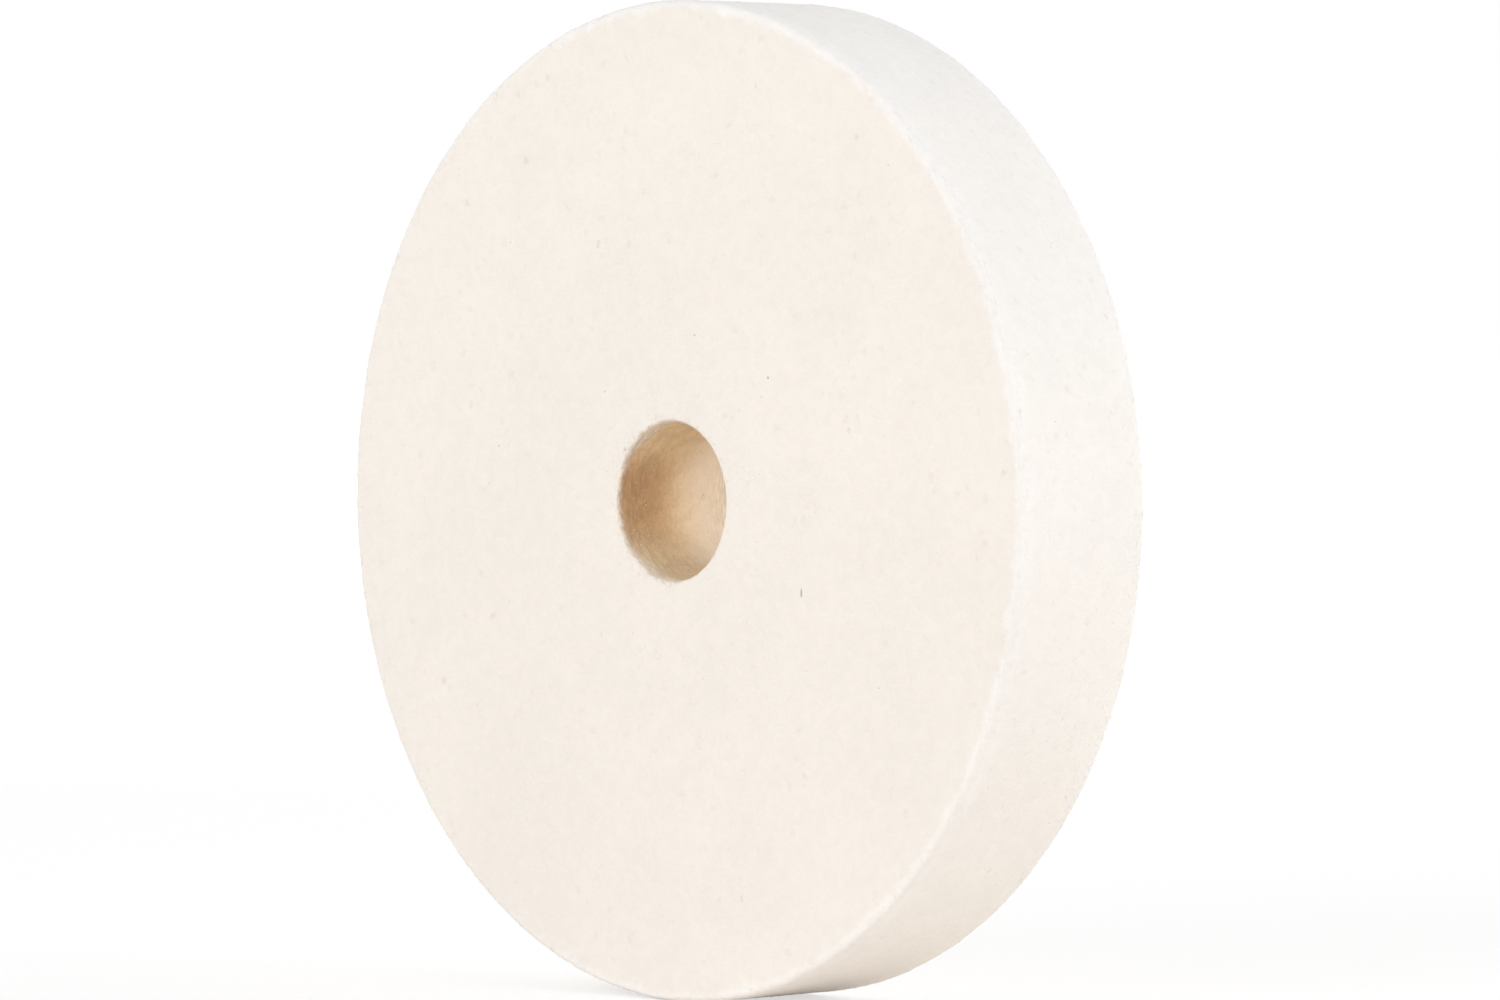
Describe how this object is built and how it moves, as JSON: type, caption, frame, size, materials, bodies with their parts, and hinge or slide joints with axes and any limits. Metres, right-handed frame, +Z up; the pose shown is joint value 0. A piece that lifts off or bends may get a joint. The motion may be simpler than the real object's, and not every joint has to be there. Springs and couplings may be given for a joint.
{
  "type": "felt polishing wheel",
  "caption": "Thick solid disc of hard-pressed wool felt with square faces, a flat rim and a plain round hole for a spindle.",
  "frame": {"origin": "centre of the wheel, on its axis and halfway between its faces", "axes": "+Y along the wheel's axis, +Z up, +X in the plane of the wheel; the wheel stands upright on its rim"},
  "size_m": [0.15, 0.025, 0.15],
  "materials": {
    "felt": "matt cream hard-pressed wool felt"
  },
  "bodies": {
    "root": {"felt_wheel": "felt"}
  },
  "joints": []
}
